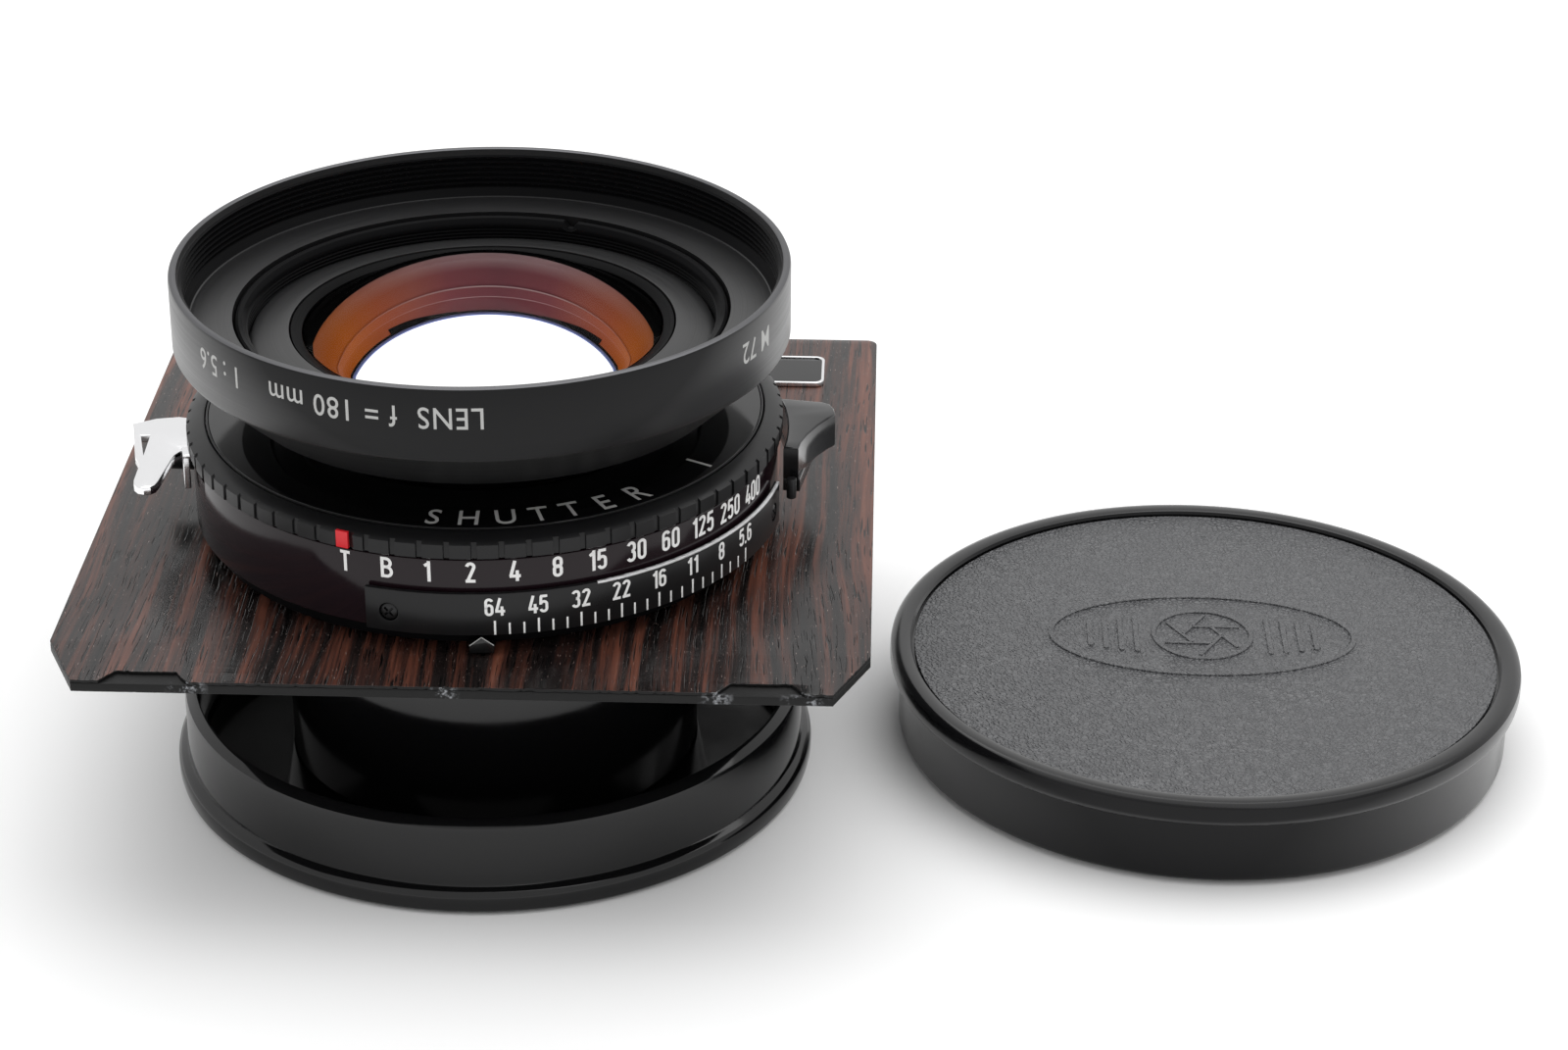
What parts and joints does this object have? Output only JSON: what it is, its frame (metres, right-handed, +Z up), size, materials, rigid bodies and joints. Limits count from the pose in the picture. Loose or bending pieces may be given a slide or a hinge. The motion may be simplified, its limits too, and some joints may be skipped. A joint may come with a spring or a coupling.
{
  "type": "view camera lens in leaf shutter on lens board",
  "caption": "View camera lens in a leaf shutter on a wood-faced lens board, standing in its rear cap with the front cap beside it.",
  "frame": {"origin": "on the lens axis, on the surface that the lens and its two caps stand on", "axes": "+Z up along the lens axis, out of the front of the lens; +X to the right when the shutter scale is seen from the front; -Y is the side that the shutter scale faces"},
  "size_m": [0.1795, 0.099, 0.0678],
  "materials": {
    "board_black": "satin black enamel on thin sheet, worn at the edge",
    "veneer": "open-pored dark veneer with red-brown and near-black streaks, satin",
    "badge": "blank black field inside a silver border",
    "black_steel": "blackened steel",
    "housing_lacquer": "smooth aubergine-black lacquer",
    "brass": "turned brass",
    "gloss_lacquer": "glossy black lacquer",
    "spring_steel": "polished steel",
    "moulded_black": "fine-grained black moulding",
    "bright_metal": "polished, bright plated steel",
    "scale_lacquer": "satin black with white engraved scale",
    "anodised_black": "fine-turned black anodising",
    "matt_black": "dead matt black inside the barrel",
    "coated_glass": "multi-coated optical glass with amber and purple reflections",
    "red_paint": "red enamel index",
    "blade_black": "blackened blade steel, dry",
    "cap_plastic": "glossy black moulding",
    "cap_grain": "fine leather-like grain with a blank raised emblem"
  },
  "bodies": {
    "root": {"board_plate": "board_black", "board_veneer": "veneer", "board_badge": "badge", "retaining_ring": "black_steel", "shutter_flange": "black_steel", "shutter_housing": "housing_lacquer", "mechanism_plate": "brass", "blade_spacer": "brass", "blade_cover": "brass", "face_plate": "gloss_lacquer", "main_spring": "spring_steel", "sync_housing": "moulded_black", "sync_terminal": "bright_metal", "sync_contact": "brass", "housing_screw": "bright_metal", "cable_release_socket": "black_steel", "aperture_scale_plate": "scale_lacquer", "scale_screw_left": "black_steel", "scale_screw_right": "black_steel", "filter_hood": "anodised_black", "hood_lock_ring": "anodised_black", "front_cell_ring": "matt_black", "front_glass_ring": "gloss_lacquer", "front_cell_barrel": "matt_black", "front_element_1": "coated_glass", "front_element_2": "coated_glass", "front_element_3": "coated_glass", "front_spacer": "matt_black", "rear_cell_barrel": "gloss_lacquer", "rear_element_4": "coated_glass", "rear_spacer": "matt_black", "rear_element_5": "coated_glass", "rear_element_6": "coated_glass", "rear_glass_ring": "matt_black"},
    "speed_dial": {"speed_ring": "anodised_black", "speed_index": "red_paint", "speed_cam_ring": "spring_steel"},
    "aperture_dial": {"aperture_ring": "matt_black", "aperture_pointer": "matt_black", "iris_cam_ring": "brass"},
    "cocking": {"cocking_lever": "bright_metal"},
    "release": {"release_lever": "bright_metal"},
    "press_focus": {"press_focus_lever": "matt_black"},
    "governor": {"governor_gear": "brass"},
    "rear_cap": {"rear_cap_shell": "cap_plastic", "rear_cap_panel": "cap_grain"},
    "front_cap": {"front_cap_shell": "cap_plastic", "front_cap_panel": "cap_grain"},
    "iris_blade_1": {"iris_blade_1": "blade_black"},
    "shutter_blade_1": {"shutter_blade_1": "blade_black"},
    "iris_blade_2": {"iris_blade_2": "blade_black"},
    "shutter_blade_2": {"shutter_blade_2": "blade_black"},
    "iris_blade_3": {"iris_blade_3": "blade_black"},
    "shutter_blade_3": {"shutter_blade_3": "blade_black"},
    "iris_blade_4": {"iris_blade_4": "blade_black"},
    "shutter_blade_4": {"shutter_blade_4": "blade_black"},
    "iris_blade_5": {"iris_blade_5": "blade_black"},
    "shutter_blade_5": {"shutter_blade_5": "blade_black"}
  },
  "joints": [
    {"name": "speed_turn", "type": "hinge", "parent": "root", "child": "speed_dial", "pos_m": [0, 0, 0.047], "axis": [0, 0, 1], "range_deg": [0, 90]},
    {"name": "aperture_turn", "type": "hinge", "parent": "root", "child": "aperture_dial", "pos_m": [0, 0, 0.035], "axis": [0, 0, 1], "range_deg": [0, 58]},
    {"name": "cocking_turn", "type": "hinge", "parent": "root", "child": "cocking", "pos_m": [0, 0, 0.044], "axis": [0, 0, 1], "range_deg": [-38, 0], "stiffness_Nm_per_rad": 0.02, "springref_deg": 20.05},
    {"name": "release_turn", "type": "hinge", "parent": "root", "child": "release", "pos_m": [-0.02315, -0.00552, 0.045], "axis": [0, 0, 1], "range_deg": [0, 8], "stiffness_Nm_per_rad": 0.02, "springref_deg": -8.59},
    {"name": "press_focus_turn", "type": "hinge", "parent": "root", "child": "press_focus", "pos_m": [0, 0, 0.0428], "axis": [0, 0, 1], "range_deg": [0, 14]},
    {"name": "governor_turn", "type": "hinge", "parent": "root", "child": "governor", "pos_m": [0.03093, 0.00325, 0.0439], "axis": [0, 0, 1], "range_deg": [0, 340]},
    {"name": "rear_cap_pull", "type": "slide", "parent": "root", "child": "rear_cap", "axis": [0, 0, -1], "range_m": [0, 0.03]},
    {"name": "front_cap_lift", "type": "slide", "parent": "root", "child": "front_cap", "axis": [0, 0, 1], "range_m": [0, 0.03]},
    {"name": "iris_blade_1_turn", "type": "hinge", "parent": "root", "child": "iris_blade_1", "pos_m": [0, -0.024, 0.038], "axis": [0, 0, 1], "range_deg": [-36.8, 0]},
    {"name": "iris_blade_2_turn", "type": "hinge", "parent": "root", "child": "iris_blade_2", "pos_m": [0.02283, -0.00742, 0.038], "axis": [0, 0, 1], "range_deg": [-36.8, 0]},
    {"name": "iris_blade_3_turn", "type": "hinge", "parent": "root", "child": "iris_blade_3", "pos_m": [0.01411, 0.01942, 0.038], "axis": [0, 0, 1], "range_deg": [-36.8, 0]},
    {"name": "iris_blade_4_turn", "type": "hinge", "parent": "root", "child": "iris_blade_4", "pos_m": [-0.01411, 0.01942, 0.038], "axis": [0, 0, 1], "range_deg": [-36.8, 0]},
    {"name": "iris_blade_5_turn", "type": "hinge", "parent": "root", "child": "iris_blade_5", "pos_m": [-0.02283, -0.00742, 0.038], "axis": [0, 0, 1], "range_deg": [-36.8, 0]},
    {"name": "shutter_blade_1_turn", "type": "hinge", "parent": "root", "child": "shutter_blade_1", "pos_m": [0, -0.024, 0.0405], "axis": [0, 0, 1], "range_deg": [-42.2, 0]},
    {"name": "shutter_blade_2_turn", "type": "hinge", "parent": "root", "child": "shutter_blade_2", "pos_m": [0.02283, -0.00742, 0.0405], "axis": [0, 0, 1], "range_deg": [-42.2, 0]},
    {"name": "shutter_blade_3_turn", "type": "hinge", "parent": "root", "child": "shutter_blade_3", "pos_m": [0.01411, 0.01942, 0.0405], "axis": [0, 0, 1], "range_deg": [-42.2, 0]},
    {"name": "shutter_blade_4_turn", "type": "hinge", "parent": "root", "child": "shutter_blade_4", "pos_m": [-0.01411, 0.01942, 0.0405], "axis": [0, 0, 1], "range_deg": [-42.2, 0]},
    {"name": "shutter_blade_5_turn", "type": "hinge", "parent": "root", "child": "shutter_blade_5", "pos_m": [-0.02283, -0.00742, 0.0405], "axis": [0, 0, 1], "range_deg": [-42.2, 0]}
  ],
  "couplings": [
    {"joint": "governor_turn", "follows": "cocking_turn", "ratio": -8.6562},
    {"joint": "iris_blade_1_turn", "follows": "aperture_turn", "ratio": -0.6328},
    {"joint": "iris_blade_2_turn", "follows": "aperture_turn", "ratio": -0.6328},
    {"joint": "iris_blade_3_turn", "follows": "aperture_turn", "ratio": -0.6328},
    {"joint": "iris_blade_4_turn", "follows": "aperture_turn", "ratio": -0.6328},
    {"joint": "iris_blade_5_turn", "follows": "aperture_turn", "ratio": -0.6328},
    {"joint": "shutter_blade_1_turn", "follows": "press_focus_turn", "ratio": -3},
    {"joint": "shutter_blade_2_turn", "follows": "press_focus_turn", "ratio": -3},
    {"joint": "shutter_blade_3_turn", "follows": "press_focus_turn", "ratio": -3},
    {"joint": "shutter_blade_4_turn", "follows": "press_focus_turn", "ratio": -3},
    {"joint": "shutter_blade_5_turn", "follows": "press_focus_turn", "ratio": -3}
  ]
}
